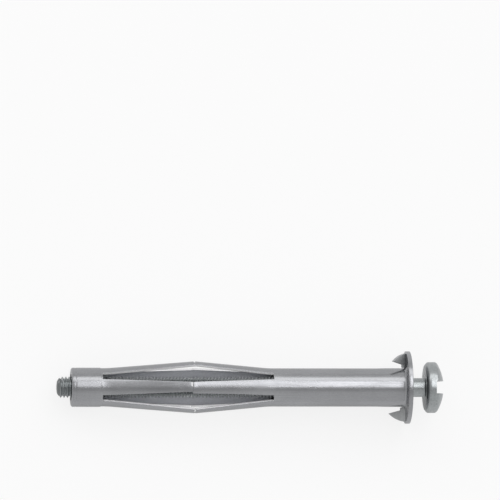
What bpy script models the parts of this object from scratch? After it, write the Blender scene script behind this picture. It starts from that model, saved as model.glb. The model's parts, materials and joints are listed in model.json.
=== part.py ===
"""Metal hollow wall anchor, ready to fit, lying on its side.

Three real pieces: a sleeve folded and slit from one sheet, a threaded nut held in its far end,
and a slotted pan head screw that runs through the sleeve into the nut.

Everything is built along a straight axis first: axial place 0 is the wall side of the flange,
plus is towards the screw head, and an azimuth of 0 points up, 90 degrees along +Y.
The whole anchor then leans as it lies on a flat surface, on its flange rim and its collar.
"""

import math

import bmesh
import bpy
from mathutils import Matrix
from mathutils import Vector

MM = 0.001

# Sheet metal sleeve
SHEET = 0.6 * MM
TUBE_DIAMETER = 9.0 * MM
ANCHOR_LENGTH = 80.0 * MM
COLLAR_DIAMETER = 9.2 * MM
COLLAR_LENGTH = 6.9 * MM
COLLAR_EDGE_RADIUS = 0.45 * MM
COLLAR_STEP_LENGTH = 0.35 * MM
LIP_WIDTH = 0.85 * MM

# Legs between the collar and the plain tube
LEG_COUNT = 5
TUBE_LENGTH = 31.4 * MM
SLOT_WIDTH = 1.6 * MM
KNEE_DISTANCE = 18.8 * MM
KNEE_LEG_WIDTH = 2.6 * MM
KNEE_BULGE = 1.7 * MM
KNEE_GROOVE_WIDTH = 0.7 * MM
KNEE_GROOVE_DEPTH = 0.16 * MM
LEG_BEND_SHARE = 0.12

# Flange
FLANGE_DIAMETER = 17.1 * MM
FLANGE_THICKNESS = 1.0 * MM
FLANGE_EDGE_RADIUS = 0.32 * MM
FLANGE_FILLET = 0.85 * MM
MOUTH_FILLET = 0.5 * MM

# Prongs lanced out of the flange and bent towards the wall
PRONG_AZIMUTHS = (math.radians(88.0), math.radians(-92.0))
PRONG_BEND = math.radians(50.0)
PRONG_THICKNESS = 0.7 * MM
PRONG_REACH = 5.2 * MM
PRONG_STEP = 1.9 * MM
PRONG_HEEL_WIDTH = 0.65 * MM
PRONG_TUBE_GAP = 0.25 * MM
PRONG_RIM_STRIP = 0.45 * MM
PRONG_BEND_RADIUS = 0.3 * MM
PRONG_ROOT = 0.45 * MM
PRONG_FACE_INSET = 0.05 * MM
PRONG_SHEAR_GAP = 0.08 * MM

# Screw
THREAD_DIAMETER = 5.0 * MM
THREAD_LENGTH = 62.0 * MM
THREAD_RUNOUT = 0.8 * MM
SHANK_DIAMETER = 4.45 * MM
TIP_PROJECTION = 3.4 * MM
TIP_DIAMETER = 2.5 * MM
TIP_LENGTH = 0.95 * MM
TIP_ROUNDING = 0.12 * MM
HEAD_GAP = 3.6 * MM
HEAD_DIAMETER = 12.0 * MM
HEAD_HEIGHT = 4.45 * MM
HEAD_RIM_START = 0.42 * MM
HEAD_RIM_END = 2.35 * MM
HEAD_EDGE_WIDTH = 0.35 * MM
HEAD_EDGE_FULLNESS = 0.3
HEAD_BEARING_MARGIN = 0.65 * MM
DOME_RADIUS = 11.0 * MM
NECK_FILLET = 0.6 * MM
DRIVE_SLOT_WIDTH = 2.9 * MM
DRIVE_SLOT_DEPTH = 2.4 * MM
DRIVE_SLOT_AZIMUTH = math.radians(-2.0)
SLOT_CUTTER_REACH = 1.2

# Nut
NUT_LENGTH = 6.0 * MM
NUT_FIT = 0.1 * MM
NUT_LIP_GAP = 0.1 * MM
NUT_CHAMFER = 0.35 * MM
THREAD_FIT = 0.06 * MM

# Facets
LEG_COLUMNS = 6
SLOT_SHARES = (0.0, 0.2, 0.8)
LEG_SHARES = (0.0, 0.04, 0.08, 0.12, 0.3, 0.55, 0.8)
ROUND_STEPS = 4
EDGE_STEPS = 2
FLANK_STEPS = 6
TURNED_SEGMENTS = 48
BEND_STEPS = 5
SMOOTH_ANGLE = math.radians(32.0)

# Sizes that follow from the ones above
TUBE_RADIUS = TUBE_DIAMETER / 2
BORE_RADIUS = TUBE_RADIUS - SHEET
COLLAR_RADIUS = COLLAR_DIAMETER / 2
COLLAR_BORE_RADIUS = COLLAR_RADIUS - SHEET
LIP_RADIUS = COLLAR_BORE_RADIUS - LIP_WIDTH
FLANGE_RADIUS = FLANGE_DIAMETER / 2
FILLET_END_RADIUS = TUBE_RADIUS + FLANGE_FILLET
SLEEVE_END = FLANGE_THICKNESS - ANCHOR_LENGTH
COLLAR_END = SLEEVE_END + COLLAR_LENGTH
SLOTS_START = COLLAR_END + COLLAR_STEP_LENGTH
SLOTS_END = -TUBE_LENGTH
KNEE = SLOTS_END - KNEE_DISTANCE
SECTOR = 2 * math.pi / LEG_COUNT
SLOT_END_HALF_ANGLE = SECTOR / 2 - SLOT_WIDTH / 2 / TUBE_RADIUS
KNEE_HALF_ANGLE = KNEE_LEG_WIDTH / 2 / TUBE_RADIUS
BEND_LENGTH = PRONG_BEND * (PRONG_BEND_RADIUS + PRONG_THICKNESS / 2)
HEAD_SEAT = FLANGE_THICKNESS + HEAD_GAP
SCREW_TIP = SLEEVE_END - TIP_PROJECTION
NUT_OUTER_END = SLEEVE_END + SHEET + NUT_LIP_GAP
NUT_RADIUS = COLLAR_BORE_RADIUS - NUT_FIT
NUT_BORE_RADIUS = (THREAD_DIAMETER / 2 + THREAD_FIT) / math.cos(math.pi / TURNED_SEGMENTS)


def clear_scene():
    for item in list(bpy.data.objects):
        bpy.data.objects.remove(item, do_unlink=True)


def metal(name, colour, roughness):
    material = bpy.data.materials.new(name)
    material.use_nodes = True
    shader = material.node_tree.nodes["Principled BSDF"]
    shader.inputs["Base Color"].default_value = (*colour, 1.0)
    shader.inputs["Metallic"].default_value = 1.0
    shader.inputs["Roughness"].default_value = roughness
    return material


def object_from(name, mesh_data, material):
    bmesh.ops.recalc_face_normals(mesh_data, faces=mesh_data.faces)
    mesh = bpy.data.meshes.new(name)
    mesh_data.to_mesh(mesh)
    mesh_data.free()
    mesh.shade_smooth()
    mesh.set_sharp_from_angle(angle=SMOOTH_ANGLE)
    if material is not None:
        mesh.materials.append(material)
    item = bpy.data.objects.new(name, mesh)
    bpy.context.collection.objects.link(item)
    return item


def polar(axial, radius, azimuth):
    return Vector((axial, radius * math.sin(azimuth), radius * math.cos(azimuth)))


def arc(centre_axial, centre_radius, radius, start, end, steps):
    """Points (axial, radius) on an arc, with angles measured from +axial towards +radius."""
    points = []
    for step in range(steps + 1):
        angle = start + (end - start) * step / steps
        points.append((centre_axial + radius * math.cos(angle), centre_radius + radius * math.sin(angle)))
    return points


def turned(name, profile, material, closed):
    """A profile of (axial, radius) points turned about the axis; an open one ends on the axis."""
    data = bmesh.new()
    rings = []
    for axial, radius in profile:
        if radius < 1e-9:
            rings.append([data.verts.new((axial, 0.0, 0.0))])
            continue
        ring = []
        for segment in range(TURNED_SEGMENTS):
            azimuth = 2 * math.pi * (segment + 0.5) / TURNED_SEGMENTS
            ring.append(data.verts.new(polar(axial, radius, azimuth)))
        rings.append(ring)
    pairs = list(zip(rings, rings[1:]))
    if closed:
        pairs.append((rings[-1], rings[0]))
    for first, second in pairs:
        for segment in range(TURNED_SEGMENTS):
            after = (segment + 1) % TURNED_SEGMENTS
            if len(first) == 1:
                corners = [first[0], second[segment], second[after]]
            elif len(second) == 1:
                corners = [first[segment], second[0], first[after]]
            else:
                corners = [first[segment], second[segment], second[after], first[after]]
            data.faces.new(corners)
    return object_from(name, data, material)


def extruded(name, outline, place, depth_low, depth_high):
    """A prism: the outline's (u, r) points at two depths, each corner put in space by place."""
    data = bmesh.new()
    corners = [data.verts.new((u, r, depth_low)) for u, r in outline]
    data.faces.new(corners)
    for cut in bend_lines():
        geometry = list(data.verts) + list(data.edges) + list(data.faces)
        bmesh.ops.bisect_plane(data, geom=geometry, dist=1e-7, plane_co=(cut, 0, 0), plane_no=(1, 0, 0))
    grown = bmesh.ops.extrude_face_region(data, geom=list(data.faces))
    for element in grown["geom"]:
        if isinstance(element, bmesh.types.BMVert):
            element.co.z = depth_high
    for corner in data.verts:
        corner.co = place(*corner.co)
    return object_from(name, data, None)


def helper(item):
    item.hide_render = True
    item.display_type = "WIRE"
    return item


def cut_or_join(target, tool, operation):
    modifier = target.modifiers.new(tool.name, "BOOLEAN")
    modifier.operation = operation
    modifier.solver = "EXACT"
    modifier.object = helper(tool)


def leg_shape(axial):
    """Bulge and half angle of a leg at an axial place: straight runs from the slot ends to the knee."""
    if axial <= KNEE:
        share = (axial - SLOTS_START) / (KNEE - SLOTS_START)
    else:
        share = (SLOTS_END - axial) / (SLOTS_END - KNEE)
    slope = 1 / (1 - LEG_BEND_SHARE / 2)
    if share < LEG_BEND_SHARE:
        rise = slope * share * share / (2 * LEG_BEND_SHARE)
    else:
        rise = slope * (share - LEG_BEND_SHARE / 2)
    half_angle = SLOT_END_HALF_ANGLE + (KNEE_HALF_ANGLE - SLOT_END_HALF_ANGLE) * share
    return KNEE_BULGE * rise, half_angle


def sleeve_stations():
    """Sections from the lip to the rim: outer point, inner point, and whether a leg runs on from it."""
    stations = []

    def ring(outer, inner):
        stations.append((outer, inner, False))

    def leg(axial, groove=0.0):
        stations.append(((axial, TUBE_RADIUS - groove), (axial, BORE_RADIUS), True))

    lip_face = SLEEVE_END + SHEET
    ring((SLEEVE_END, LIP_RADIUS), (lip_face, LIP_RADIUS))
    corner = arc(SLEEVE_END + COLLAR_EDGE_RADIUS, COLLAR_RADIUS - COLLAR_EDGE_RADIUS, COLLAR_EDGE_RADIUS,
                 math.pi, math.pi / 2, ROUND_STEPS)
    for point in corner:
        ring(point, (lip_face, min(point[1], COLLAR_BORE_RADIUS)))
    ring((COLLAR_END, COLLAR_RADIUS), (COLLAR_END, COLLAR_BORE_RADIUS))

    groove_reach = KNEE_GROOVE_WIDTH / 2
    left_run = KNEE - groove_reach - SLOTS_START
    right_run = SLOTS_END - KNEE - groove_reach
    for share in LEG_SHARES:
        leg(SLOTS_START + left_run * share)
    leg(KNEE - groove_reach)
    leg(KNEE, KNEE_GROOVE_DEPTH)
    leg(KNEE + groove_reach)
    for share in reversed(LEG_SHARES[1:]):
        leg(SLOTS_END - right_run * share)

    ring((SLOTS_END, TUBE_RADIUS), (SLOTS_END, BORE_RADIUS))
    ring((SLOTS_END / 2, TUBE_RADIUS), (SLOTS_END / 2, BORE_RADIUS))
    root = arc(-FLANGE_FILLET, FILLET_END_RADIUS, FLANGE_FILLET, -math.pi / 2, 0.0, ROUND_STEPS)
    mouth = arc(FLANGE_THICKNESS - MOUTH_FILLET, BORE_RADIUS + MOUTH_FILLET, MOUTH_FILLET,
                -math.pi / 2, 0.0, ROUND_STEPS)
    for outer, inner in zip(root, mouth):
        ring(outer, inner)
    edge = FLANGE_EDGE_RADIUS
    wall_edge = arc(edge, FLANGE_RADIUS - edge, edge, math.pi, math.pi / 2, EDGE_STEPS)
    head_edge = arc(FLANGE_THICKNESS - edge, FLANGE_RADIUS - edge, edge, 0.0, math.pi / 2, EDGE_STEPS)
    for outer, inner in zip(wall_edge, head_edge):
        ring(outer, inner)
    return stations


def sleeve_columns():
    """Columns: the leg's centre, place across the leg, place across the slot, and on a leg or not."""
    columns = []
    for sector in range(LEG_COUNT):
        centre = SECTOR * sector
        for step in range(LEG_COLUMNS):
            columns.append((centre, -1 + 2 * step / LEG_COLUMNS, 0.0, True))
        for share in SLOT_SHARES:
            columns.append((centre, 1.0, share, False))
    return columns


def sleeve_body(material):
    """The folded sheet as a thick grid of sections and columns, open where the slots are."""
    stations = sleeve_stations()
    columns = sleeve_columns()
    data = bmesh.new()
    corners = {}

    def corner(row, column, side):
        column %= len(columns)
        key = (row, column, side)
        if key not in corners:
            axial, radius = stations[row][side]
            centre, across, slot_share, _ = columns[column]
            bulge, half_angle = leg_shape(axial) if stations[row][2] else (0.0, SLOT_END_HALF_ANGLE)
            azimuth = centre + across * half_angle + slot_share * (SECTOR - 2 * half_angle)
            corners[key] = data.verts.new(polar(axial, radius, azimuth) + polar(0.0, bulge, centre))
        return corners[key]

    def solid(row, column):
        if row < 0 or row >= len(stations) - 1:
            return False
        return columns[column % len(columns)][3] or not stations[row][2]

    for row in range(len(stations) - 1):
        for column in range(len(columns)):
            if not solid(row, column):
                continue
            loop = ((row, column), (row + 1, column), (row + 1, column + 1), (row, column + 1))
            data.faces.new([corner(*place, 0) for place in loop])
            data.faces.new([corner(*place, 1) for place in reversed(loop)])
            sides = (((row - 1, column), loop[3], loop[0]), ((row + 1, column), loop[1], loop[2]),
                     ((row, column - 1), loop[0], loop[1]), ((row, column + 1), loop[2], loop[3]))
            for neighbour, start, end in sides:
                if not solid(*neighbour):
                    data.faces.new([corner(*start, 0), corner(*start, 1), corner(*end, 1), corner(*end, 0)])
    return object_from("anchor_sleeve", data, material)


def bend_lines():
    """Distances along a prong where its blank is divided so that it can follow the bend."""
    return [BEND_LENGTH * step / BEND_STEPS for step in range(BEND_STEPS + 1)]


def prong_outline(start, margin, inner_radius):
    """The prong's flat blank: distance from the bend line, and height along that line from the axis."""
    heel = TUBE_RADIUS + PRONG_TUBE_GAP + PRONG_HEEL_WIDTH - margin
    outline = [(start, inner_radius), (PRONG_STEP + margin, inner_radius)]
    if heel > inner_radius:
        outline.append((PRONG_STEP + margin, heel))
    flank_radius = FLANGE_RADIUS - PRONG_RIM_STRIP + margin
    point = PRONG_REACH + margin
    for step in range(FLANK_STEPS + 1):
        along = point * (1 - step / FLANK_STEPS)
        outline.append((along, math.sqrt(flank_radius ** 2 - along ** 2)))
    if start < 0:
        outline.append((start, flank_radius))
    return outline


def prong(name, azimuth):
    """One prong, bent about a radial line on the wall side of the flange."""
    turn = Matrix.Rotation(azimuth, 3, "X").inverted()

    def place(along, radius, depth):
        angle = min(max(along, 0.0), BEND_LENGTH) / BEND_LENGTH * PRONG_BEND
        rest = min(along, 0.0) + max(along - BEND_LENGTH, 0.0)
        reach = PRONG_BEND_RADIUS + depth
        tangential = reach * math.sin(angle) + rest * math.cos(angle)
        axial = reach * math.cos(angle) - PRONG_BEND_RADIUS - rest * math.sin(angle)
        return turn @ Vector((axial, -tangential, radius))

    outline = prong_outline(-PRONG_ROOT, 0.0, TUBE_RADIUS + PRONG_TUBE_GAP)
    return extruded(name, outline, place, PRONG_FACE_INSET, PRONG_FACE_INSET + PRONG_THICKNESS)


def prong_window(name, azimuth):
    """The cutter for the gap that a prong leaves in the flange, inside its rim."""
    turn = Matrix.Rotation(azimuth, 3, "X").inverted()

    def place(along, radius, depth):
        return turn @ Vector((depth, -along, radius))

    outline = prong_outline(0.0, PRONG_SHEAR_GAP, FILLET_END_RADIUS + PRONG_SHEAR_GAP)
    return extruded(name, outline, place, -FLANGE_THICKNESS, 2 * FLANGE_THICKNESS)


def make_sleeve(material):
    sleeve = sleeve_body(material)
    for number, azimuth in enumerate(PRONG_AZIMUTHS):
        cut_or_join(sleeve, prong_window(f"prong_window_{number}", azimuth), "DIFFERENCE")
        cut_or_join(sleeve, prong(f"prong_blank_{number}", azimuth), "UNION")
    return sleeve


def make_nut(material):
    outer_end = NUT_OUTER_END
    inner_end = NUT_OUTER_END + NUT_LENGTH
    profile = [
        (outer_end, NUT_BORE_RADIUS + NUT_CHAMFER),
        (outer_end, NUT_RADIUS - NUT_CHAMFER),
        (outer_end + NUT_CHAMFER, NUT_RADIUS),
        (inner_end - NUT_CHAMFER, NUT_RADIUS),
        (inner_end, NUT_RADIUS - NUT_CHAMFER),
        (inner_end, NUT_BORE_RADIUS + NUT_CHAMFER),
        (inner_end - NUT_CHAMFER, NUT_BORE_RADIUS),
        (outer_end + NUT_CHAMFER, NUT_BORE_RADIUS),
    ]
    return turned("threaded_nut", profile, material, True)


def make_screw(material):
    head_radius = HEAD_DIAMETER / 2
    thread_radius = THREAD_DIAMETER / 2
    shank_radius = SHANK_DIAMETER / 2
    thread_end = SCREW_TIP + THREAD_LENGTH
    crown = HEAD_SEAT + HEAD_HEIGHT
    dome_edge_radius = head_radius - HEAD_EDGE_WIDTH

    def dome(radius):
        return crown - (DOME_RADIUS - math.sqrt(DOME_RADIUS ** 2 - radius ** 2))

    profile = [(SCREW_TIP, 0.0), (SCREW_TIP, TIP_DIAMETER / 2)]
    profile.append((SCREW_TIP + TIP_LENGTH / 2, (TIP_DIAMETER / 2 + thread_radius) / 2 + TIP_ROUNDING))
    profile.append((SCREW_TIP + TIP_LENGTH, thread_radius))
    profile.append((thread_end, thread_radius))
    profile.append((thread_end + THREAD_RUNOUT, shank_radius))
    neck_radius = shank_radius + NECK_FILLET
    profile += arc(HEAD_SEAT - NECK_FILLET, neck_radius, NECK_FILLET, -math.pi / 2, 0.0, ROUND_STEPS)
    profile.append((HEAD_SEAT, head_radius - HEAD_BEARING_MARGIN))
    profile.append((HEAD_SEAT + HEAD_RIM_START, head_radius))
    profile.append((HEAD_SEAT + HEAD_RIM_END, head_radius))
    edge_place = (HEAD_SEAT + HEAD_RIM_END + dome(dome_edge_radius)) / 2
    profile.append((edge_place, head_radius - HEAD_EDGE_WIDTH * HEAD_EDGE_FULLNESS))
    for step in range(ROUND_STEPS + 2):
        radius = dome_edge_radius * (1 - step / (ROUND_STEPS + 1))
        profile.append((dome(radius), radius))
    screw = turned("machine_screw", profile, material, False)

    slot = bmesh.new()
    bmesh.ops.create_cube(slot, size=1.0)
    length = HEAD_DIAMETER * SLOT_CUTTER_REACH
    height = DRIVE_SLOT_DEPTH + HEAD_HEIGHT
    bmesh.ops.scale(slot, verts=slot.verts, vec=(height, DRIVE_SLOT_WIDTH, length))
    bmesh.ops.translate(slot, verts=slot.verts, vec=(crown - DRIVE_SLOT_DEPTH + height / 2, 0.0, 0.0))
    turn = Matrix.Rotation(DRIVE_SLOT_AZIMUTH, 3, "X").inverted()
    bmesh.ops.rotate(slot, verts=slot.verts, cent=(0.0, 0.0, 0.0), matrix=turn)
    cut_or_join(screw, object_from("drive_slot", slot, None), "DIFFERENCE")
    return screw


def lay_down():
    """Leans the axis so that the lowest flats of the flange rim and the collar touch the ground."""
    rim = FLANGE_EDGE_RADIUS
    collar = SLEEVE_END + COLLAR_EDGE_RADIUS
    flat_half_angle = (SECTOR / 2 - SLOT_END_HALF_ANGLE) * (SLOT_SHARES[-1] - SLOT_SHARES[1])
    rim_height = FLANGE_RADIUS * math.cos(flat_half_angle)
    collar_height = COLLAR_RADIUS * math.cos(flat_half_angle)
    lean = math.atan2(rim_height - collar_height, rim - collar)
    tip_end = SCREW_TIP * math.cos(lean) - TIP_DIAMETER / 2 * math.sin(lean)
    dome_reach = math.sqrt(DOME_RADIUS ** 2 - (DRIVE_SLOT_WIDTH / 2) ** 2)
    head_end = (HEAD_SEAT + HEAD_HEIGHT - DOME_RADIUS) * math.cos(lean) + dome_reach
    height = rim_height * math.cos(lean) - rim * math.sin(lean)
    carrier = bpy.data.objects.new("anchor_axis", None)
    bpy.context.collection.objects.link(carrier)
    carrier.rotation_euler = (0.0, -lean, 0.0)
    carrier.location = (-(tip_end + head_end) / 2, 0.0, height)
    for item in bpy.data.objects:
        if item is not carrier:
            item.parent = carrier


def build():
    clear_scene()
    zinc = metal("zinc_sheet", (0.44, 0.44, 0.455), 0.32)
    nut_metal = metal("zinc_nut", (0.40, 0.405, 0.415), 0.38)
    screw_metal = metal("zinc_screw", (0.46, 0.475, 0.48), 0.28)
    make_sleeve(zinc)
    make_nut(nut_metal)
    make_screw(screw_metal)
    lay_down()


build()
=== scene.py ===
import json
import math

import bmesh
import bpy
from mathutils import Matrix
from mathutils import Vector


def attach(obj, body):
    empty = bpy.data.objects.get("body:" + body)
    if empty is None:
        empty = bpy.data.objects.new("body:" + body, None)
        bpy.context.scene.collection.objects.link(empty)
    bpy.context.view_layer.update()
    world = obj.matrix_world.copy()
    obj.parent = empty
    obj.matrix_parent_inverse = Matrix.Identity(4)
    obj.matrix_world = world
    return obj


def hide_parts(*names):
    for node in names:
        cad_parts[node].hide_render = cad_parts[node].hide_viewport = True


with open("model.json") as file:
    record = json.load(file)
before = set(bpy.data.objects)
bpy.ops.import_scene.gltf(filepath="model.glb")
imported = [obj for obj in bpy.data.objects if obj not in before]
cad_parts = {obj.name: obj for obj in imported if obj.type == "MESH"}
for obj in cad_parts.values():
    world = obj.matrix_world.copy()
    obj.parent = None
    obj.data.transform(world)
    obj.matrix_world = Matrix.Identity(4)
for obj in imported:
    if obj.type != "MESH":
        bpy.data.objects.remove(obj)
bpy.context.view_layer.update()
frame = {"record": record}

MM = 0.001
PIXEL = 0.2358 * MM
SMOOTH_ANGLE = math.radians(32.0)
MERGE_DISTANCE = 1e-7
DEGENERATE_LENGTH = 1e-8

# The anchor's straight axis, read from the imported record
record = frame["record"]
axis = Vector(record["behaviour"]["joints"][0]["axis"]).normalized()
up = Vector((-axis.z, 0.0, axis.x))
WALL_FACE_HEIGHT = 6.95 * MM
wall_face = next(m for m in record["mounts"] if m["name"] == "wall_side_face")
flange_centre = Vector(wall_face["pos_m"]) - up * WALL_FACE_HEIGHT
straight = Matrix((
    (axis.x, 0.0, up.x, flange_centre.x),
    (axis.y, 1.0, up.y, flange_centre.y),
    (axis.z, 0.0, up.z, flange_centre.z),
    (0.0, 0.0, 0.0, 1.0),
))

# Sleeve
SHEET = 0.6 * MM
TUBE_RADIUS = 4.5 * MM
BORE_RADIUS = TUBE_RADIUS - SHEET
SLEEVE_END = -79.0 * MM
COLLAR_RADIUS = 4.6 * MM
COLLAR_BORE = COLLAR_RADIUS - SHEET
COLLAR_END = SLEEVE_END + 6.9 * MM
COLLAR_EDGE = 0.45 * MM
COLLAR_ROWS = 7
COLLAR_PLAIN_END = COLLAR_END - 0.1 * MM
LIP_RADIUS = COLLAR_BORE - 0.85 * MM
LIP_SHARES = (0.0, 0.35, 0.7)
BEAD_PLACE = SLEEVE_END + 1.05 * MM
BEAD_WIDTH = 0.13 * MM
BEAD_DEPTH = 0.06 * MM
# The turned line round the collar: place in bead widths, share of the depth
BEAD_FORM = ((-1.3, 0.0), (-1.0, 0.0), (-0.5, 0.6), (0.0, 1.0), (0.5, 0.6), (1.0, 0.0), (1.3, 0.0))
# The step down from the collar to the legs, in mm: outer place, inner place, drop
SHOULDER = ((-0.22, -0.14, 0.0), (-0.08, 0.0, 0.0), (0.0, 0.06, 0.03), (0.12, 0.16, 0.09))
SLOTS_START = COLLAR_END + 0.35 * MM
SLOTS_END = -31.4 * MM
KNEE = SLOTS_END - 18.8 * MM
LEG_COUNT = 5
SECTOR = 2 * math.pi / LEG_COUNT
SLOT_WIDTH = 1.6 * MM
KNEE_LEG_WIDTH = 2.6 * MM
KNEE_BULGE = 1.7 * MM
LEG_BEND_SHARE = 0.12
LEG_STEPS = (0.0, 0.02, 0.04, 0.06, 0.08, 0.1, 0.12, 0.16, 0.2, 0.26, 0.32, 0.4, 0.48, 0.56, 0.64, 0.72, 0.8,
             0.88, 0.94)
# The crease at the knee: place in mm, share of the depth
CREASE_FORM = ((-0.36, 0.0), (-0.3, 0.03), (-0.05, 0.85), (0.0, 1.0), (0.06, 0.85), (0.2, 0.1), (0.28, 0.0))
CREASE_DEPTH = 0.2 * MM
CREASE_LEAST_SHARE = 0.35
# Faces deeper in the crease than this share, past this place across the leg, take the near-white material: a
# painted glint
CREASE_GLINT_DEPTH = 0.8
CREASE_GLINT_FROM = 0.0
LEG_COLUMNS = 18
SLOT_COLUMNS = 6
OUTER_ROUNDING = 0.24 * MM
INNER_ROUNDING = 0.08 * MM
SHEARED_ANGLE = math.radians(50.0)
SHEARED_MARGIN = 0.2 * MM
# A sheared edge runs at least this much along the axis, and an outer one also faces this much outwards
SHEARED_ALONG = 0.7
SHEARED_OUTWARD = 0.6
# Material slots of the sleeve: 0 plain plate, then these two, then the prongs, a lighter copy of the zinc that
# is painted light
# Slot 1: near-white zinc, partly bare sheared metal, partly a painted highlight on the slot walls and a painted
# glint in the knee crease
SHEARED_AND_HIGHLIGHT_SLOT = 1
# Slot 2: a lighter copy of the zinc inside the legs, painted light lifting the shade inside the tube
INSIDE_PAINTED_LIGHT_SLOT = 2
END_HALF = SECTOR / 2 - SLOT_WIDTH / 2 / TUBE_RADIUS
KNEE_HALF = KNEE_LEG_WIDTH / 2 / TUBE_RADIUS
# For each leg, in mm: shift of the knee, then how much its low and high side are trimmed, left and right of it
LEG_WAYS = (
    (-0.6, 0.18, 0.0, -0.30, 0.02),
    (0.3, 0.0, 0.05, 0.06, 0.0),
    (0.1, 0.08, -0.15, -0.08, -0.15),
    (-0.2, -0.3, 0.1, -0.3, -0.1),
    (0.4, 0.05, 0.0, -0.1, 0.05),
)
FLANGE_RADIUS = 8.55 * MM
FLANGE = 1.0 * MM
FLANGE_FILLET = 0.85 * MM
MOUTH_FILLET = 0.5 * MM
FLANGE_EDGE = 0.11 * MM
# Rows of the flange by radius and of the tube by place, in mm
FLANGE_ROWS = (6.2, 7.2, 7.9)
TUBE_ROWS = (-31.4, -29.0, -26.0, -22.0, -18.0, -14.0, -10.0, -7.0, -4.8, -3.4)
FLANGE_EDGE_STEPS = 5
FILLET_END = TUBE_RADIUS + FLANGE_FILLET
# The tube widens a little towards the flange
TUBE_SWELL = 0.05 * MM
TUBE_SWELL_START = -4.9 * MM
# Outer and inner place of the last row before the fillets
ROOT_START = -2.0 * MM
MOUTH_START = -1.2 * MM

# Prongs
PRONG_AZIMUTHS = (math.radians(88.0), math.radians(-92.0))
PRONG_BEND = math.radians(50.0)
PRONG_THICKNESS = 0.7 * MM
PRONG_REACH = 5.2 * MM
PRONG_STEP = 1.9 * MM
PRONG_HEEL = 0.65 * MM
PRONG_TUBE_GAP = 0.25 * MM
PRONG_RIM_STRIP = 0.45 * MM
PRONG_BEND_RADIUS = 0.3 * MM
PRONG_ROOT = 0.45 * MM
# The end of a prong's root lies inside the flange and stays square
ROOT_SQUARE_FROM = -0.9 * PRONG_ROOT
PRONG_INSET = 0.05 * MM
PRONG_SHEAR = 0.08 * MM
PRONG_ROUNDING = 0.07 * MM
EDGE_ANGLE = math.radians(40.0)
FLANK_STEPS = 12
BEND_STEPS = 8
BEND_LENGTH = PRONG_BEND * (PRONG_BEND_RADIUS + PRONG_THICKNESS / 2)

# Screw and nut
PITCH = 0.8 * MM
THREAD_RADIUS = 2.5 * MM
THREAD_DEPTH = 0.49 * MM
SCREW_TIP = -82.4 * MM
TIP_RADIUS = 1.25 * MM
TIP_LENGTH = 0.95 * MM
TIP_ROUNDING = 0.12 * MM
TIP_DOME = 0.14 * MM
TIP_SHARES = (1.0, 0.85, 0.7, 0.5, 0.3, 0.12)
THREAD_END = SCREW_TIP + 62.0 * MM
RUNOUT = 0.8 * MM
RUNOUT_START = 1.2 * PITCH
SHANK_RADIUS = 2.225 * MM
HEAD_SEAT = 4.6 * MM
HEAD_RADIUS = 6.0 * MM
HEAD_HEIGHT = 4.45 * MM
HEAD_RIM_START = 0.66 * MM
HEAD_RIM_END = 2.35 * MM
HEAD_RIM_SHARES = (0.35, 0.7, 1.0)
HEAD_EDGE = 0.35 * MM
HEAD_EDGE_SHARES = (0.25, 0.5, 0.75)
HEAD_BEARING = HEAD_RADIUS - 0.68 * MM
HEAD_BEARING_ROW = 4.2 * MM
# The chamfer under the head bends softly at both of its ends and bulges a little between them
BEARING_BEND = 0.1 * MM
BEARING_BEND_RISE = 0.03 * MM
CHAMFER_MIDDLE = HEAD_RADIUS - 0.3 * MM
RIM_BEND = 0.08 * MM
RIM_BEND_DEPTH = 0.06 * MM
HEAD_EDGE_FULLNESS = 0.3
HEAD_STEPS = 14
SHANK_STEPS = 9
ROUND_STEPS = 8
DOME_RADIUS = 11.0 * MM
NECK_FILLET = 0.28 * MM
DRIVE_WIDTH = 2.95 * MM
DRIVE_DEPTH = 2.25 * MM
DRIVE_AZIMUTH = math.radians(0.6)
DRIVE_ROUNDING = 0.09 * MM
DRIVE_WALL_TOLERANCE = 0.002 * MM
DRIVE_FLOOR_MARGIN = 0.05 * MM
CROWN = HEAD_SEAT + HEAD_HEIGHT
NUT_START = -78.3 * MM
NUT_LENGTH = 6.0 * MM
NUT_RADIUS = COLLAR_BORE - 0.1 * MM
NUT_CHAMFER = 0.35 * MM
# The nut's edge at the lip: shares of the chamfer along the axis and outwards
NUT_EDGE_FORM = ((0.0, 0.0), (0.2, 0.32), (0.8, 0.92), (1.0, 1.0))
NUT_BORE_CUT = 0.14 * MM
THREAD_FIT = 0.06 * MM
# One pitch of the thread: share of the pitch, share of the depth
THREAD_FORM = ((-0.07, 0.93), (-0.03, 1.0), (0.03, 1.0), (0.07, 0.93), (0.4, 0.06), (0.46, 0.0), (0.54, 0.0),
               (0.6, 0.06))
AROUND = 72


def polar(axial, radius, azimuth):
    return Vector((axial, radius * math.sin(azimuth), radius * math.cos(azimuth)))


def arc(centre_axial, centre_radius, radius, start, end, steps):
    points = []
    for step in range(steps + 1):
        angle = start + (end - start) * step / steps
        points.append((centre_axial + radius * math.cos(angle), centre_radius + radius * math.sin(angle)))
    return points


def finish_mesh(name, data, material):
    bmesh.ops.recalc_face_normals(data, faces=data.faces)
    mesh = bpy.data.meshes.new(name)
    data.to_mesh(mesh)
    data.free()
    mesh.shade_smooth()
    mesh.set_sharp_from_angle(angle=SMOOTH_ANGLE)
    if material is not None:
        mesh.materials.append(material)
    item = bpy.data.objects.new(name, mesh)
    bpy.context.scene.collection.objects.link(item)
    return item


def baked(item):
    """Applies an object's modifiers."""
    bpy.context.view_layer.update()
    evaluated = item.evaluated_get(bpy.context.evaluated_depsgraph_get())
    mesh = bpy.data.meshes.new_from_object(evaluated)
    item.modifiers.clear()
    item.data = mesh
    return item


def boolean(target, tool, operation):
    modifier = target.modifiers.new(tool.name, "BOOLEAN")
    modifier.operation = operation
    modifier.solver = "EXACT"
    modifier.object = tool


def place_piece(item, node, body):
    """Leans a piece that was built along the straight axis, then hands it to its body."""
    item.data.transform(straight)
    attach(item, body)
    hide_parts(node)


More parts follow.
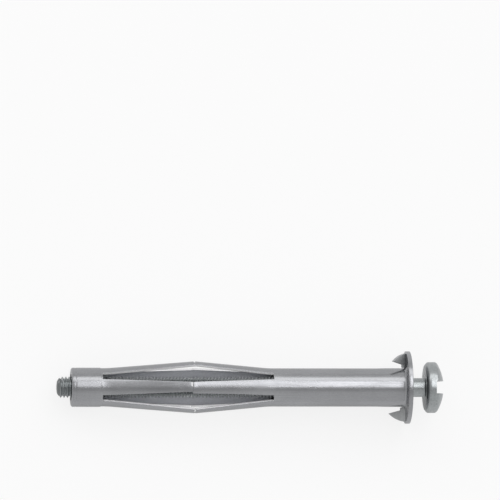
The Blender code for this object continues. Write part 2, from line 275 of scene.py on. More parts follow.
# Building the sleeve
def leg_rise(share):
    """How far a leg has risen, from a soft bend at its end to the knee."""
    slope = 1 / (1 - LEG_BEND_SHARE / 2)
    if share < LEG_BEND_SHARE:
        return slope * share * share / (2 * LEG_BEND_SHARE)
    return slope * (share - LEG_BEND_SHARE / 2)


def leg_place(leg, axial, across, slot_share):
    """Axial place, azimuth and bulge of a point on a leg with its own knee, and the leg's middle azimuth."""
    knee_shift, low_left, high_left, low_right, high_right = LEG_WAYS[leg]
    knee = KNEE + knee_shift * MM
    centre = SECTOR * leg
    if axial <= KNEE:
        share = (axial - SLOTS_START) / (KNEE - SLOTS_START)
        moved = SLOTS_START + share * (knee - SLOTS_START)
        low, high = low_left, high_left
    else:
        share = (SLOTS_END - axial) / (SLOTS_END - KNEE)
        moved = SLOTS_END - share * (SLOTS_END - knee)
        low, high = low_right, high_right
    half = END_HALF + (KNEE_HALF - END_HALF) * share
    trim_share = share * share
    low_edge = -half + low * MM / TUBE_RADIUS * trim_share
    high_edge = half - high * MM / TUBE_RADIUS * trim_share
    azimuth = centre + (low_edge + high_edge) / 2 + across * (high_edge - low_edge) / 2
    return moved, azimuth + slot_share * (SECTOR - 2 * half), KNEE_BULGE * leg_rise(share), centre


def sleeve_rows():
    """Rows of (outer point, inner point, on the legs, crease share) from the lip to the rim."""
    rows = []
    lip_face = SLEEVE_END + SHEET

    def ring(outer, inner):
        rows.append((outer, inner, False, 0.0))

    def leg(axial, crease=0.0):
        rows.append(((axial, TUBE_RADIUS), (axial, BORE_RADIUS), True, crease))

    for share in LIP_SHARES:
        radius = LIP_RADIUS + share * (COLLAR_RADIUS - COLLAR_EDGE - LIP_RADIUS)
        ring((SLEEVE_END, radius), (lip_face, radius))
    edge_centre = (SLEEVE_END + COLLAR_EDGE, COLLAR_RADIUS - COLLAR_EDGE)
    for point in arc(*edge_centre, COLLAR_EDGE, math.pi, math.pi / 2, ROUND_STEPS):
        ring(point, (lip_face, min(point[1], COLLAR_BORE)))
    for offset, depth in BEAD_FORM:
        spot = BEAD_PLACE + offset * BEAD_WIDTH
        ring((spot, COLLAR_RADIUS - depth * BEAD_DEPTH), (spot, COLLAR_BORE))
    for step in range(1, COLLAR_ROWS):
        spot = BEAD_PLACE + BEAD_WIDTH + (COLLAR_PLAIN_END - BEAD_PLACE - BEAD_WIDTH) * step / COLLAR_ROWS
        ring((spot, COLLAR_RADIUS), (spot, COLLAR_BORE))
    for outer, inner, drop in SHOULDER:
        ring((COLLAR_END + outer * MM, COLLAR_RADIUS - drop * MM),
             (COLLAR_END + inner * MM, COLLAR_BORE - drop * MM))

    left_run = KNEE + CREASE_FORM[0][0] * MM - SLOTS_START
    right_run = SLOTS_END - KNEE - CREASE_FORM[-1][0] * MM
    for share in LEG_STEPS:
        leg(SLOTS_START + left_run * share)
    for offset, crease in CREASE_FORM:
        leg(KNEE + offset * MM, crease)
    for share in reversed(LEG_STEPS[1:]):
        leg(SLOTS_END - right_run * share)

    for spot in TUBE_ROWS:
        swell = TUBE_SWELL if spot * MM > TUBE_SWELL_START else 0.0
        ring((spot * MM, TUBE_RADIUS + swell), (spot * MM, BORE_RADIUS))
    ring((ROOT_START, TUBE_RADIUS + TUBE_SWELL), (MOUTH_START, BORE_RADIUS))
    root = arc(-FLANGE_FILLET, FILLET_END, FLANGE_FILLET - TUBE_SWELL, -math.pi / 2, 0.0, ROUND_STEPS)
    mouth = arc(FLANGE - MOUTH_FILLET, BORE_RADIUS + MOUTH_FILLET, MOUTH_FILLET, -math.pi / 2, 0.0, ROUND_STEPS)
    root[-1] = (0.0, root[-1][1])
    for outer, inner in zip(root, mouth):
        ring(outer, inner)
    for radius in FLANGE_ROWS:
        ring((0.0, radius * MM), (FLANGE, radius * MM))
    edge = FLANGE_EDGE
    wall_edge = arc(edge, FLANGE_RADIUS - edge, edge, math.pi, math.pi / 2, FLANGE_EDGE_STEPS)
    head_edge = arc(FLANGE - edge, FLANGE_RADIUS - edge, edge, 0.0, math.pi / 2, FLANGE_EDGE_STEPS)
    for outer, inner in zip(wall_edge, head_edge):
        ring(outer, inner)
    return rows


def sleeve_columns():
    """Columns of (leg, place across the leg from -1 to 1, share of the slot after it, on a leg)."""
    columns = []
    for leg in range(LEG_COUNT):
        for step in range(LEG_COLUMNS):
            columns.append((leg, -1 + 2 * step / LEG_COLUMNS, 0.0, True))
        for step in range(SLOT_COLUMNS):
            columns.append((leg, 1.0, step / SLOT_COLUMNS, False))
    return columns


def sheet_faces(data, rows, columns):
    """The outer and inner faces of the sheet, and the walls between them at the slots and both ends."""
    corners = {}

    def corner(row, column, side):
        column %= len(columns)
        key = (row, column, side)
        if key not in corners:
            (axial, radius), on_leg, crease = rows[row][side], rows[row][2], rows[row][3]
            leg, across, slot_share, _ = columns[column]
            if on_leg:
                axial, azimuth, bulge, centre = leg_place(leg, axial, across, slot_share)
                if side == 0 and crease:
                    wedge = CREASE_LEAST_SHARE + (1 - CREASE_LEAST_SHARE) * (across + 1) / 2
                    radius -= crease * CREASE_DEPTH * wedge
                corners[key] = data.verts.new(polar(axial, radius, azimuth) + polar(0.0, bulge, centre))
            else:
                azimuth = SECTOR * leg + across * END_HALF + slot_share * (SECTOR - 2 * END_HALF)
                corners[key] = data.verts.new(polar(axial, radius, azimuth))
        return corners[key]

    def solid(row, column):
        if row < 0 or row >= len(rows) - 1:
            return False
        return columns[column % len(columns)][3] or not rows[row][2]

    for row in range(len(rows) - 1):
        for column in range(len(columns)):
            if not solid(row, column):
                continue
            loop = ((row, column), (row + 1, column), (row + 1, column + 1), (row, column + 1))
            outer = data.faces.new([corner(*place, 0) for place in loop])
            # A painted glint: the deep crease, on one half across the leg, takes the near-white material
            if rows[row + 1][3] > CREASE_GLINT_DEPTH and columns[column][1] > CREASE_GLINT_FROM:
                outer.material_index = SHEARED_AND_HIGHLIGHT_SLOT
            inner = data.faces.new([corner(*place, 1) for place in reversed(loop)])
            # The inside of the legs takes a lighter copy of the zinc: painted light lifting the shade inside
            # the tube
            if rows[row][2]:
                inner.material_index = INSIDE_PAINTED_LIGHT_SLOT
            sides = (((row - 1, column), loop[3], loop[0]), ((row + 1, column), loop[1], loop[2]),
                     ((row, column - 1), loop[0], loop[1]), ((row, column + 1), loop[2], loop[3]))
            for neighbour, start, end in sides:
                if not solid(*neighbour):
                    corners_round = (corner(*start, 0), corner(*start, 1), corner(*end, 1), corner(*end, 0))
                    wall = data.faces.new(corners_round)
                    # The slot walls take the near-white material: bare sheared metal plus a painted highlight
                    if 0 < row < len(rows) - 2:
                        wall.material_index = SHEARED_AND_HIGHLIGHT_SLOT


def round_sheared_edges(data):
    """Rounds the long edges of the slots, more on the outside than on the inside."""
    for outside, width in ((True, OUTER_ROUNDING), (False, INNER_ROUNDING)):
        sheared = []
        for edge in data.edges:
            middle = (edge.verts[0].co + edge.verts[1].co) / 2
            if not SLOTS_START - SHEARED_MARGIN < middle.x < SLOTS_END + SHEARED_MARGIN:
                continue
            if len(edge.link_faces) != 2 or edge.calc_face_angle() < SHEARED_ANGLE:
                continue
            along = abs((edge.verts[1].co - edge.verts[0].co).normalized().x)
            normals = [face.normal for face in edge.link_faces]
            outward = Vector((0.0, middle.y, middle.z)).normalized()
            faces_out = max(normal.dot(outward) for normal in normals) > SHEARED_OUTWARD
            if along > SHEARED_ALONG and faces_out == outside:
                sheared.append(edge)
        bmesh.ops.bevel(data, geom=sheared, offset=width, segments=3, profile=0.4, affect="EDGES",
                        clamp_overlap=True)


def prong_outline(start, margin, inner_radius):
    """Flat outline of a prong, along the cut and by radius; a margin makes it the window round it."""
    heel = TUBE_RADIUS + PRONG_TUBE_GAP + PRONG_HEEL - margin
    outline = [(start, inner_radius), (PRONG_STEP + margin, inner_radius)]
    if heel > inner_radius:
        outline.append((PRONG_STEP + margin, heel))
    flank = FLANGE_RADIUS - PRONG_RIM_STRIP + margin
    point = PRONG_REACH + margin
    for step in range(FLANK_STEPS + 1):
        along = point * (1 - step / FLANK_STEPS)
        outline.append((along, math.sqrt(flank ** 2 - along ** 2)))
    if start < 0:
        outline.append((start, flank))
    return outline


def extruded(name, outline, place, depth_low, depth_high, material, rounding):
    """A plate from a flat outline, cut across where it bends, rounded, then put in place."""
    data = bmesh.new()
    corners = [data.verts.new((u, r, depth_low)) for u, r in outline]
    data.faces.new(corners)
    for step in range(BEND_STEPS + 1):
        geometry = list(data.verts) + list(data.edges) + list(data.faces)
        bmesh.ops.bisect_plane(data, geom=geometry, dist=MERGE_DISTANCE, plane_no=(1, 0, 0),
                               plane_co=(BEND_LENGTH * step / BEND_STEPS, 0, 0))
    grown = bmesh.ops.extrude_face_region(data, geom=list(data.faces))
    for element in grown["geom"]:
        if isinstance(element, bmesh.types.BMVert):
            element.co.z = depth_high
    bmesh.ops.recalc_face_normals(data, faces=data.faces)
    if rounding:
        rim = [edge for edge in data.edges if len(edge.link_faces) == 2
               and edge.calc_face_angle() > EDGE_ANGLE
               and min(edge.verts[0].co.x, edge.verts[1].co.x) > ROOT_SQUARE_FROM]
        bmesh.ops.bevel(data, geom=rim, offset=rounding, segments=2, profile=0.5, affect="EDGES",
                        clamp_overlap=True)
    for corner in data.verts:
        corner.co = place(*corner.co)
    return finish_mesh(name, data, material)


def prong(name, azimuth, material):
    turn = Matrix.Rotation(azimuth, 3, "X").inverted()

    def place(along, radius, depth):
        angle = min(max(along, 0.0), BEND_LENGTH) / BEND_LENGTH * PRONG_BEND
        rest = min(along, 0.0) + max(along - BEND_LENGTH, 0.0)
        reach = PRONG_BEND_RADIUS + depth
        tangential = reach * math.sin(angle) + rest * math.cos(angle)
        axial = reach * math.cos(angle) - PRONG_BEND_RADIUS - rest * math.sin(angle)
        return turn @ Vector((axial, -tangential, radius))

    outline = prong_outline(-PRONG_ROOT, 0.0, TUBE_RADIUS + PRONG_TUBE_GAP)
    depth_high = PRONG_INSET + PRONG_THICKNESS
    return extruded(name, outline, place, PRONG_INSET, depth_high, material, PRONG_ROUNDING)


def prong_window(name, azimuth):
    turn = Matrix.Rotation(azimuth, 3, "X").inverted()

    def place(along, radius, depth):
        return turn @ Vector((depth, -along, radius))

    outline = prong_outline(0.0, PRONG_SHEAR, FILLET_END + PRONG_SHEAR)
    return extruded(name, outline, place, -FLANGE, 2 * FLANGE, None, 0.0)


def lance_prongs(sleeve, material):
    """Cuts each prong's window out of the flange and joins the bent prong to what is left."""
    tools = []
    for number, azimuth in enumerate(PRONG_AZIMUTHS):
        window = prong_window(f"window_{number}", azimuth)
        blank = prong(f"prong_{number}", azimuth, material)
        boolean(sleeve, window, "DIFFERENCE")
        boolean(sleeve, blank, "UNION")
        tools += [window, blank]
    baked(sleeve)
    for tool in tools:
        bpy.data.objects.remove(tool, do_unlink=True)


def make_sleeve(material, sheared_and_highlight_material, inside_painted_light_material, prong_painted_light_material):
    data = bmesh.new()
    sheet_faces(data, sleeve_rows(), sleeve_columns())
    bmesh.ops.recalc_face_normals(data, faces=data.faces)
    round_sheared_edges(data)
    sleeve = finish_mesh("sleeve", data, material)
    # Extra slots: near-white sheared zinc with painted highlight, then lighter copies for the inside and the
    # prongs, both painted light
    for extra in (sheared_and_highlight_material, inside_painted_light_material, prong_painted_light_material):
        sleeve.data.materials.append(extra)
    lance_prongs(sleeve, prong_painted_light_material)
    sleeve.data.set_sharp_from_angle(angle=SMOOTH_ANGLE)
    return sleeve


# Building the screw and the nut
def thread_rows(data, low, high, radius_at):
    """Adds a helical grid of faces between two flat ends."""
    per_turn = len(THREAD_FORM)
    first = math.floor((low - SCREW_TIP) / PITCH) - 2
    last = math.ceil((high - SCREW_TIP) / PITCH) + 2
    grid = []
    for turn in range(first, last + 1):
        for offset, height in THREAD_FORM:
            row = []
            for column in range(AROUND + 1):
                axial = SCREW_TIP + PITCH * (turn + offset + column / AROUND)
                spot = min(max(axial, low), high)
                azimuth = -2 * math.pi * column / AROUND
                row.append((spot, radius_at(spot, height), azimuth))
            grid.append(row)
    shared = {}

    def vertex(row, column):
        if column == AROUND:
            return vertex(row + per_turn, 0) if row + per_turn < len(grid) else None
        key = (row, column)
        if key not in shared:
            shared[key] = data.verts.new(polar(*grid[row][column]))
        return shared[key]

    for row in range(len(grid) - 1):
        for column in range(AROUND):
            corners = [vertex(row, column), vertex(row, column + 1), vertex(row + 1, column + 1),
                       vertex(row + 1, column)]
            if None in corners:
                continue
            spots = {round(c.co.x / MM, 5) for c in corners}
            if spots == {round(low / MM, 5)} or spots == {round(high / MM, 5)}:
                continue
            data.faces.new(corners)


def end_ring(data, axial, radius):
    return [data.verts.new(polar(axial, radius, -2 * math.pi * column / AROUND)) for column in range(AROUND)]


def skin(data, rings):
    for first, second in zip(rings, rings[1:]):
        for column in range(AROUND):
            after = (column + 1) % AROUND
            data.faces.new([first[column], first[after], second[after], second[column]])


def tidy_grid(data):
    """Joins the thread to the turned faces and drops the corners that were squashed at its ends."""
    bmesh.ops.remove_doubles(data, verts=data.verts, dist=MERGE_DISTANCE)
    loose = [v for v in data.verts if not v.link_faces]
    bmesh.ops.delete(data, geom=loose, context="VERTS")
    bmesh.ops.dissolve_degenerate(data, dist=DEGENERATE_LENGTH, edges=data.edges)


def smooth_share(value):
    value = min(max(value, 0.0), 1.0)
    return value * value * (3 - 2 * value)


def screw_radius(axial, height):
    """Radius of the thread at a height from root to crest, with its runout and the chamfered tip."""
    root = THREAD_RADIUS - THREAD_DEPTH
    radius = root + THREAD_DEPTH * height
    share = smooth_share((axial - (THREAD_END - RUNOUT_START)) / (RUNOUT_START + RUNOUT))
    radius += (SHANK_RADIUS - radius) * share
    from_tip = axial - SCREW_TIP
    middle = (TIP_RADIUS + THREAD_RADIUS) / 2 + TIP_ROUNDING
    if from_tip < TIP_LENGTH / 2:
        limit = TIP_RADIUS + (middle - TIP_RADIUS) * from_tip / (TIP_LENGTH / 2)
    else:
        limit = middle + (THREAD_RADIUS - middle) * (from_tip / (TIP_LENGTH / 2) - 1)
    return min(radius, max(limit, TIP_RADIUS))


def dome(radius):
    return CROWN - (DOME_RADIUS - math.sqrt(DOME_RADIUS ** 2 - radius ** 2))


def shank_profile(start):
    """Places and radii along the bare shank and its neck fillet, from where the thread ends."""
    neck = HEAD_SEAT - NECK_FILLET
    profile = [(start, SHANK_RADIUS)]
    for step in range(1, SHANK_STEPS):
        profile.append((start + (neck - start) * step / SHANK_STEPS, SHANK_RADIUS))
    return profile + arc(neck, SHANK_RADIUS + NECK_FILLET, NECK_FILLET, -math.pi / 2, 0.0, ROUND_STEPS)


def head_profile():
    """Places and radii round the pan head, from its bearing face over the rim to the dome."""
    rim = HEAD_SEAT + HEAD_RIM_START
    profile = [(HEAD_SEAT, HEAD_BEARING_ROW), (HEAD_SEAT, HEAD_BEARING - BEARING_BEND),
               (HEAD_SEAT + BEARING_BEND_RISE, HEAD_BEARING), (HEAD_SEAT + HEAD_RIM_START / 2, CHAMFER_MIDDLE),
               (rim - RIM_BEND, HEAD_RADIUS - RIM_BEND_DEPTH), (rim + RIM_BEND, HEAD_RADIUS)]
    for share in HEAD_RIM_SHARES:
        profile.append((rim + (HEAD_RIM_END - HEAD_RIM_START) * share, HEAD_RADIUS))
    edge_radius = HEAD_RADIUS - HEAD_EDGE
    low = (HEAD_SEAT + HEAD_RIM_END, HEAD_RADIUS)
    crest = ((HEAD_SEAT + HEAD_RIM_END + dome(edge_radius)) / 2, HEAD_RADIUS - HEAD_EDGE * HEAD_EDGE_FULLNESS)
    top = (dome(edge_radius), edge_radius)
    for share in HEAD_EDGE_SHARES:
        blend = []
        for a, b, c in zip(low, crest, top):
            middle = 2 * b - (a + c) / 2
            blend.append((1 - share) ** 2 * a + 2 * share * (1 - share) * middle + share ** 2 * c)
        profile.append(tuple(blend))
    for step in range(HEAD_STEPS):
        radius = edge_radius * (1 - step / HEAD_STEPS)
        profile.append((dome(radius), radius))
    return profile


def cut_drive(screw, turn, material):
    """Cuts the straight driver slot across the head."""
    cutter = bmesh.new()
    bmesh.ops.create_cube(cutter, size=1.0)
    height = DRIVE_DEPTH + HEAD_HEIGHT
    bmesh.ops.scale(cutter, verts=cutter.verts, vec=(height, DRIVE_WIDTH, HEAD_RADIUS * 2.4))
    bmesh.ops.translate(cutter, verts=cutter.verts, vec=(CROWN - DRIVE_DEPTH + height / 2, 0.0, 0.0))
    bmesh.ops.rotate(cutter, verts=cutter.verts, cent=(0.0, 0.0, 0.0), matrix=turn)
    tool = finish_mesh("drive", cutter, material)
    boolean(screw, tool, "DIFFERENCE")
    baked(screw)
    bpy.data.objects.remove(tool, do_unlink=True)


def round_drive(screw, turn):
    """Rounds the lips of the driver slot."""
    data = bmesh.new()
    data.from_mesh(screw.data)
    across = turn @ Vector((0.0, 1.0, 0.0))
    lips = []
    for edge in data.edges:
        if len(edge.link_faces) != 2 or edge.calc_face_angle(0.0) < EDGE_ANGLE:
            continue
        offsets = [abs(abs(v.co.dot(across)) - DRIVE_WIDTH / 2) for v in edge.verts]
        high_up = min(v.co.x for v in edge.verts) > CROWN - DRIVE_DEPTH + DRIVE_FLOOR_MARGIN
        if max(offsets) < DRIVE_WALL_TOLERANCE and high_up:
            lips.append(edge)
    bmesh.ops.bevel(data, geom=lips, offset=DRIVE_ROUNDING, segments=2, profile=0.5, affect="EDGES",
                    clamp_overlap=True)
    data.to_mesh(screw.data)
    data.free()


def make_screw(material):
    data = bmesh.new()
    tip_edge = SCREW_TIP + TIP_DOME
    tip_radius = screw_radius(tip_edge, 1.0)
    thread_rows(data, tip_edge, THREAD_END + RUNOUT, screw_radius)
    tip_rings = [end_ring(data, SCREW_TIP + TIP_DOME * share * share, tip_radius * share)
                 for share in TIP_SHARES]
    skin(data, tip_rings)
    data.faces.new(tip_rings[-1])
    profile = shank_profile(THREAD_END + RUNOUT) + head_profile()
    rings = [end_ring(data, axial, radius) for axial, radius in profile]
    skin(data, rings)
    data.faces.new(rings[-1])
    tidy_grid(data)
    screw = finish_mesh("screw", data, material)
    turn = Matrix.Rotation(DRIVE_AZIMUTH, 3, "X").inverted()
    cut_drive(screw, turn, material)
    round_drive(screw, turn)
    screw.data.set_sharp_from_angle(angle=SMOOTH_ANGLE)
    return screw


def make_nut(material):
    data = bmesh.new()
    high = NUT_START + NUT_LENGTH
    root = THREAD_RADIUS - THREAD_DEPTH

    def bore(axial, height):
        radius = root + THREAD_DEPTH * height + THREAD_FIT
        radius = max(radius, root + NUT_BORE_CUT)
        edge = min(axial - NUT_START, high - axial)
        return max(radius, THREAD_RADIUS + THREAD_FIT + NUT_CHAMFER - edge)

    thread_rows(data, NUT_START, high, bore)
    mouth = THREAD_RADIUS + THREAD_FIT + NUT_CHAMFER
    profile = [(NUT_START, mouth)]
    for along, outwards in NUT_EDGE_FORM:
        profile.append((NUT_START + NUT_CHAMFER * along, NUT_RADIUS - NUT_CHAMFER * (1 - outwards)))
    profile += [(high - NUT_CHAMFER, NUT_RADIUS), (high, NUT_RADIUS - NUT_CHAMFER), (high, mouth)]
    skin(data, [end_ring(data, axial, radius) for axial, radius in profile])
    tidy_grid(data)
    return finish_mesh("nut", data, material)


# Materials
CLOUD_SCALE = 160.0
LINE_SCALE = 2600.0
GRAIN_SCALE = 5200.0
PIT_SCALE = 2400.0
NOISE_ROUGHNESS = 0.6
# Noise stays near its middle, between these two values
NOISE_RANGE = (0.3, 0.7)
CLOUD_RANGE = (0.36, 0.66)
CLOUD_ROUGHNESS = (-0.03, 0.05)
# Pointiness, from where the painted shade in hollows starts to its full strength, and from where the bright
# ridges (partly rubbed plating, partly painted glint) start to their full strength
HOLLOW_POINTINESS = (0.49, 0.42)
RIDGE_POINTINESS = (0.53, 0.6)
WEAR_AND_GLINT_BREAKS = (0.5, 1.0)
PIT_DARKNESS = 0.45
# The painted shade at the screw's tip, in tip lengths: from where it starts to full darkness
TIP_FADE = (1.2, 0.6)
TIP_DARKNESS = 0.2
BUMP_DISTANCE = 0.01 * MM
# Colours of the painted shade in hollows and of the bright ridges (rubbed plating and painted glint)
HOLLOW_SHADE_COLOUR = (0.05, 0.055, 0.06)
WEAR_AND_GLINT_COLOUR = (0.62, 0.625, 0.635)
PAPER_COLOUR = (0.87, 0.87, 0.87, 1.0)
PAPER_SEEN = 0.8
PAPER_MIRRORED = 0.12
ALONG_AXIS = (0.04, 1.0, 1.0)


def node_tree(name):
    material = bpy.data.materials.new(name)
    material.use_nodes = True
    return material, material.node_tree, material.node_tree.nodes["Principled BSDF"]


def add(tree, kind, **settings):
    node = tree.nodes.new(kind)
    for key, value in settings.items():
        setattr(node, key, value)
    return node


def along_anchor(tree):
    """Surface coordinates measured along the anchor's own straight axis."""
    mapping = add(tree, "ShaderNodeMapping", vector_type="TEXTURE")
    mapping.inputs["Location"].default_value = flange_centre
    mapping.inputs["Rotation"].default_value = straight.to_euler()
    tree.links.new(add(tree, "ShaderNodeTexCoord").outputs["Object"], mapping.inputs["Vector"])
    return mapping.outputs["Vector"]


def stretched_noise(tree, source, scale, stretch, detail):
    mapping = add(tree, "ShaderNodeMapping")
    mapping.inputs["Scale"].default_value = stretch
    tree.links.new(source, mapping.inputs["Vector"])
    noise = add(tree, "ShaderNodeTexNoise")
    noise.inputs["Scale"].default_value = scale
    noise.inputs["Detail"].default_value = detail
    noise.inputs["Roughness"].default_value = NOISE_ROUGHNESS
    tree.links.new(mapping.outputs["Vector"], noise.inputs["Vector"])
    return noise.outputs["Fac"]


def ramp(tree, source, low, high, low_colour, high_colour):
    node = add(tree, "ShaderNodeValToRGB")
    node.color_ramp.elements[0].position = low
    node.color_ramp.elements[1].position = high
    node.color_ramp.elements[0].color = (*low_colour, 1.0)
    node.color_ramp.elements[1].color = (*high_colour, 1.0)
    tree.links.new(source, node.inputs["Fac"])
    return node.outputs["Color"]


def mapped(tree, source, from_low, from_high, low, high):
    node = add(tree, "ShaderNodeMapRange")
    node.inputs["From Min"].default_value = from_low
    node.inputs["From Max"].default_value = from_high
    node.inputs["To Min"].default_value = low
    node.inputs["To Max"].default_value = high
    tree.links.new(source, node.inputs["Value"])
    return node.outputs["Result"]


def spread(tree, source, low, high):
    """Noise stretched between two values."""
    return mapped(tree, source, *NOISE_RANGE, low, high)


def combine(tree, operation, first, second):
    node = add(tree, "ShaderNodeMath", operation=operation)
    tree.links.new(first, node.inputs[0])
    tree.links.new(second, node.inputs[1])
    return node.outputs["Value"]


def mixed(tree, share, first, second):
    node = add(tree, "ShaderNodeMix", data_type="RGBA")
    tree.links.new(share, node.inputs["Factor"])
    for socket, value in ((node.inputs["A"], first), (node.inputs["B"], second)):
        if isinstance(value, tuple):
            socket.default_value = (*value, 1.0)
        else:
            tree.links.new(value, socket)
    return node.outputs["Result"]


def wear_and_painted_light(tree, tone, noise, hollow_shade, wear_and_glint):
    """Painted shade in grooves and corners, and edges made brighter: partly rubbed plating, partly painted
    glint.
    """
    shape = add(tree, "ShaderNodeNewGeometry").outputs["Pointiness"]
    hollow = mapped(tree, shape, *HOLLOW_POINTINESS, 0.0, hollow_shade)
    ridge = mapped(tree, shape, *RIDGE_POINTINESS, 0.0, wear_and_glint)
    broken = combine(tree, "MULTIPLY", ridge, spread(tree, noise, *WEAR_AND_GLINT_BREAKS))
    shaded_tone = mixed(tree, hollow, tone, HOLLOW_SHADE_COLOUR)
    return mixed(tree, broken, shaded_tone, WEAR_AND_GLINT_COLOUR)


def zinc(name, tones, roughness, stretch, bump, hollow_shade, wear_and_glint, pits, metallic=1.0, painted_tip_shade=0.0):
    """Zinc plate: fine drawing or turning lines, cloudy patches and tiny pits, with painted shade in hollows,
    bright ridges (partly rubbed plating, partly painted glint) and, if asked, a painted shade at the screw's
    tip.
    """
    dark, light = tones
    material, tree, shader = node_tree(name)
    source = along_anchor(tree)
    clouds = stretched_noise(tree, source, CLOUD_SCALE, (0.5, 1.0, 1.0), 4.0)
    lines = stretched_noise(tree, source, LINE_SCALE, stretch, 3.0)
    grain = stretched_noise(tree, source, GRAIN_SCALE, (1.0, 1.0, 1.0), 2.0)
    spots = stretched_noise(tree, source, PIT_SCALE, (1.0, 1.0, 1.0), 2.0)
    tone = ramp(tree, clouds, *CLOUD_RANGE, dark, light)
    tone = mixed(tree, spread(tree, spots, pits, 0.0), tone, tuple(PIT_DARKNESS * value for value in dark))
    # Painted shade: the screw's tip is darkened towards its end
    if painted_tip_shade:
        place = add(tree, "ShaderNodeSeparateXYZ")
        tree.links.new(source, place.inputs["Vector"])
        start, end = (SCREW_TIP + TIP_LENGTH * share for share in TIP_FADE)
        reach = mapped(tree, place.outputs["X"], start, end, 0.0, painted_tip_shade)
        tone = mixed(tree, reach, tone, tuple(TIP_DARKNESS * value for value in dark))
    # Painted shade in hollows; bright ridges, partly rubbed plating, partly painted glint
    tree.links.new(wear_and_painted_light(tree, tone, grain, hollow_shade, wear_and_glint), shader.inputs["Base Color"])
    shader.inputs["Metallic"].default_value = metallic
    line_part = spread(tree, lines, *roughness)
    cloud_part = spread(tree, clouds, *CLOUD_ROUGHNESS)
    tree.links.new(combine(tree, "ADD", line_part, cloud_part), shader.inputs["Roughness"])
    relief = combine(tree, "ADD", lines, grain)
    bumps = add(tree, "ShaderNodeBump")
    bumps.inputs["Strength"].default_value = bump
    bumps.inputs["Distance"].default_value = BUMP_DISTANCE
    tree.links.new(relief, bumps.inputs["Height"])
    tree.links.new(bumps.outputs["Normal"], shader.inputs["Normal"])
    return material


def floor_material():
    """White paper: a share of plain white where the camera or a mirror ray sees it, shaded elsewhere."""
    material, tree, shader = node_tree("floor_paper")
    shader.inputs["Base Color"].default_value = PAPER_COLOUR
    shader.inputs["Roughness"].default_value = 0.9
    shader.inputs["Specular IOR Level"].default_value = 0.1
    rays = add(tree, "ShaderNodeLightPath")
    direct = add(tree, "ShaderNodeMath", operation="MULTIPLY")
    direct.inputs[1].default_value = PAPER_SEEN
    tree.links.new(rays.outputs["Is Camera Ray"], direct.inputs[0])
    mirrored = add(tree, "ShaderNodeMath", operation="MULTIPLY")
    mirrored.inputs[1].default_value = PAPER_MIRRORED
    either = combine(tree, "MAXIMUM", rays.outputs["Is Glossy Ray"], rays.outputs["Is Transmission Ray"])
    tree.links.new(either, mirrored.inputs[0])
    share = combine(tree, "MAXIMUM", direct.outputs["Value"], mirrored.outputs["Value"])
    white = add(tree, "ShaderNodeEmission")
    blend = add(tree, "ShaderNodeMixShader")
    tree.links.new(share, blend.inputs["Fac"])
    tree.links.new(shader.outputs["BSDF"], blend.inputs[1])
    tree.links.new(white.outputs["Emission"], blend.inputs[2])
    tree.links.new(blend.outputs["Shader"], tree.nodes["Material Output"].inputs["Surface"])
    return material


# The three pieces
sleeve_zinc = zinc("sleeve_zinc", ((0.338, 0.342, 0.355), (0.383, 0.388, 0.402)), (0.2, 0.29), ALONG_AXIS,
                   bump=0.22, hollow_shade=0.5, wear_and_glint=0.12, pits=0.12)
# Near-white zinc for the sheared walls and the crease: partly bare sheared metal, partly painted highlight and
# glint
sheared_zinc_and_highlight = zinc("sheared_zinc_and_highlight", ((0.76, 0.76, 0.77), (0.84, 0.84, 0.85)), (0.45, 0.55), ALONG_AXIS,
                    bump=0.3, hollow_shade=0.2, wear_and_glint=0.0, pits=0.1, metallic=0.5)
# Prongs: a lighter copy of the zinc, painted light lifting their shade; their coarse speckle is their own
# texture
prong_zinc_painted_light = zinc("prong_zinc_painted_light", ((0.44, 0.45, 0.455), (0.52, 0.53, 0.535)), (0.42, 0.56), (0.3, 1.0, 1.0),
                  bump=0.4, hollow_shade=0.25, wear_and_glint=0.2, pits=0.35, metallic=0.75)
# Inside of the legs: a lighter copy of the zinc, painted light lifting the shade inside the tube
inside_zinc_painted_light = zinc("inner_zinc_painted_light", ((0.56, 0.57, 0.61), (0.64, 0.65, 0.69)), (0.4, 0.5), ALONG_AXIS,
                   bump=0.25, hollow_shade=0.3, wear_and_glint=0.1, pits=0.2, metallic=0.55)
# The screw's tip is darkened: painted shade
screw_zinc = zinc("screw_zinc", ((0.37, 0.39, 0.395), (0.43, 0.45, 0.455)), (0.23, 0.32), (1.0, 0.15, 0.15),
                  bump=0.2, hollow_shade=0.4, wear_and_glint=0.4, pits=0.32, painted_tip_shade=0.7)
nut_zinc = zinc("nut_zinc", ((0.31, 0.315, 0.325), (0.38, 0.385, 0.395)), (0.28, 0.4), (1.0, 0.2, 0.2),
                bump=0.3, hollow_shade=0.6, wear_and_glint=0.3, pits=0.3)

sleeve_piece = make_sleeve(sleeve_zinc, sheared_zinc_and_highlight, inside_zinc_painted_light, prong_zinc_painted_light)
place_piece(sleeve_piece, "anchor_sleeve", "sleeve")
place_piece(make_nut(nut_zinc), "threaded_nut", "sleeve")
place_piece(make_screw(screw_zinc), "machine_screw", "screw")

# Floor, just under the object
FLOOR_SIDE = 6.0
FLOOR_DROP = 0.2 * MM
floor_mesh = bpy.data.meshes.new("floor")
side = FLOOR_SIDE / 2
floor_corners = [(-side, -side, 0), (side, -side, 0), (side, side, 0), (-side, side, 0)]
floor_mesh.from_pydata(floor_corners, [], [(0, 1, 2, 3)])
floor_mesh.materials.append(floor_material())
floor = bpy.data.objects.new("floor", floor_mesh)
floor.location = (0.0, 0.0, -FLOOR_DROP)
bpy.context.scene.collection.objects.link(floor)

# Camera: almost straight above, turned about the anchor's axis and swung towards the nut end
TURN = math.radians(-2.0)
SWING = math.radians(5.6)
DISTANCE = 1.6
ROLL = math.radians(0.16)
IMAGE_SIDE = 500
SENSOR = 36.0
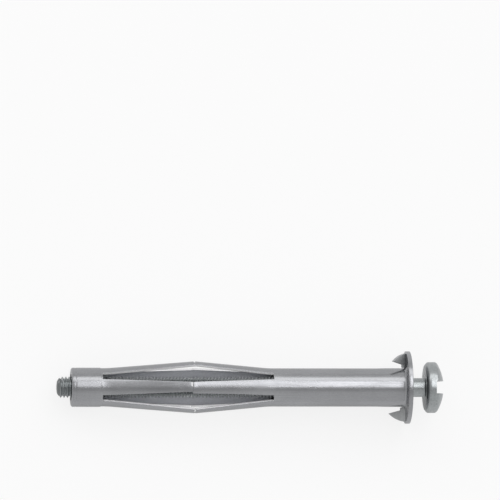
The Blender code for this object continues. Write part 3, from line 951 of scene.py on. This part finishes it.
# From the flange's centre to the middle of the picture, in pixels
TO_RIGHT = -155.5
TO_TOP = 137.1
near = Vector((0.0, math.sin(TURN), math.cos(TURN)))
image_up = Vector((0.0, math.cos(TURN), -math.sin(TURN)))
back = Vector((-math.sin(SWING), 0.0, 0.0)) + near * math.cos(SWING)
right = Vector((math.cos(SWING), 0.0, 0.0)) + near * math.sin(SWING)
spin = straight.to_3x3()
target = flange_centre + spin @ (right * (TO_RIGHT * PIXEL) + image_up * (TO_TOP * PIXEL))
camera_data = bpy.data.cameras.new("camera")
camera_data.sensor_width = SENSOR
camera_data.lens = SENSOR * DISTANCE / (IMAGE_SIDE * PIXEL)
camera_data.clip_start = 0.01
camera_data.clip_end = 20.0
camera = bpy.data.objects.new("camera", camera_data)
bpy.context.scene.collection.objects.link(camera)
turned = Matrix((spin @ right, spin @ image_up, spin @ back)).transposed() @ Matrix.Rotation(ROLL, 3, "Z")
camera.matrix_world = Matrix.Translation(target + spin @ back * DISTANCE) @ turned.to_4x4()
bpy.context.scene.camera = camera

# Lights, farther off than the camera of any other view
LIGHT_DISTANCE = 2.1
COOL_WHITE = (0.985, 0.98, 1.0)


def softbox(name, low, high, left, right_end, radiance, colour):
    """A soft panel seen from the object between angles from straight up, towards +Y and towards +X."""
    middle = math.radians((low + high) / 2)
    swing = math.radians((left + right_end) / 2)
    towards = Vector((math.sin(swing), math.sin(middle) * math.cos(swing), math.cos(middle) * math.cos(swing)))
    across = Vector((1.0, 0.0, 0.0))
    across = (across - towards * across.dot(towards)).normalized()
    rising = towards.cross(across)
    width = 2 * LIGHT_DISTANCE * math.tan(math.radians(right_end - left) / 2)
    height = 2 * LIGHT_DISTANCE * math.tan(math.radians(high - low) / 2)
    light_data = bpy.data.lights.new(name, "AREA")
    light_data.shape = "RECTANGLE"
    light_data.size = width
    light_data.size_y = height
    light_data.energy = radiance * width * height * math.pi
    light_data.color = colour
    light = bpy.data.objects.new(name, light_data)
    bpy.context.scene.collection.objects.link(light)
    facing = Matrix((across, rising, towards)).transposed()
    light.matrix_world = Matrix.Translation(towards * LIGHT_DISTANCE) @ facing.to_4x4()


softbox("main_softbox", 2.0, 36.0, 2.0, 10.0, 3.15, COOL_WHITE)
softbox("wide_softbox", 14.0, 40.0, 10.0, 42.0, 0.95, COOL_WHITE)
softbox("side_softbox", 40.0, 62.0, -46.0, 46.0, 1.25, (1.0, 1.0, 1.0))

# Round the softboxes: a pale room, darker beside the lens
world = bpy.data.worlds.new("studio")
bpy.context.scene.world = world
world.use_nodes = True
sky = world.node_tree
direction = add(sky, "ShaderNodeSeparateXYZ")
sky.links.new(add(sky, "ShaderNodeTexCoord").outputs["Generated"], direction.inputs["Vector"])


def sky_ramp(source, stops):
    """Brightness over a direction from -1 to 1."""
    share = mapped(sky, source, -1.0, 1.0, 0.0, 1.0)
    node = add(sky, "ShaderNodeValToRGB")
    elements = node.color_ramp.elements
    while len(elements) < len(stops):
        elements.new(0.5)
    for element, (place, value) in zip(elements, stops):
        element.position = (place + 1) / 2
        element.color = (value, value, value, 1.0)
    sky.links.new(share, node.inputs["Fac"])
    return node.outputs["Color"]


SKY_STRENGTH = 1.2
SKY_ALONG_X = ((-1.0, 0.95), (-0.7, 0.62), (-0.3, 0.57), (0.1, 0.67), (0.7, 0.67), (1.0, 0.95))
SKY_ALONG_Y = ((-1.0, 1.0), (-0.5, 0.96), (-0.34, 0.74), (-0.12, 0.6), (0.2, 0.95))
across_x = sky_ramp(direction.outputs["X"], SKY_ALONG_X)
across_y = sky_ramp(direction.outputs["Y"], SKY_ALONG_Y)
background = sky.nodes["Background"]
background.inputs["Strength"].default_value = SKY_STRENGTH
sky.links.new(combine(sky, "MULTIPLY", across_x, across_y), background.inputs["Color"])

bpy.context.scene.view_settings.view_transform = "Standard"
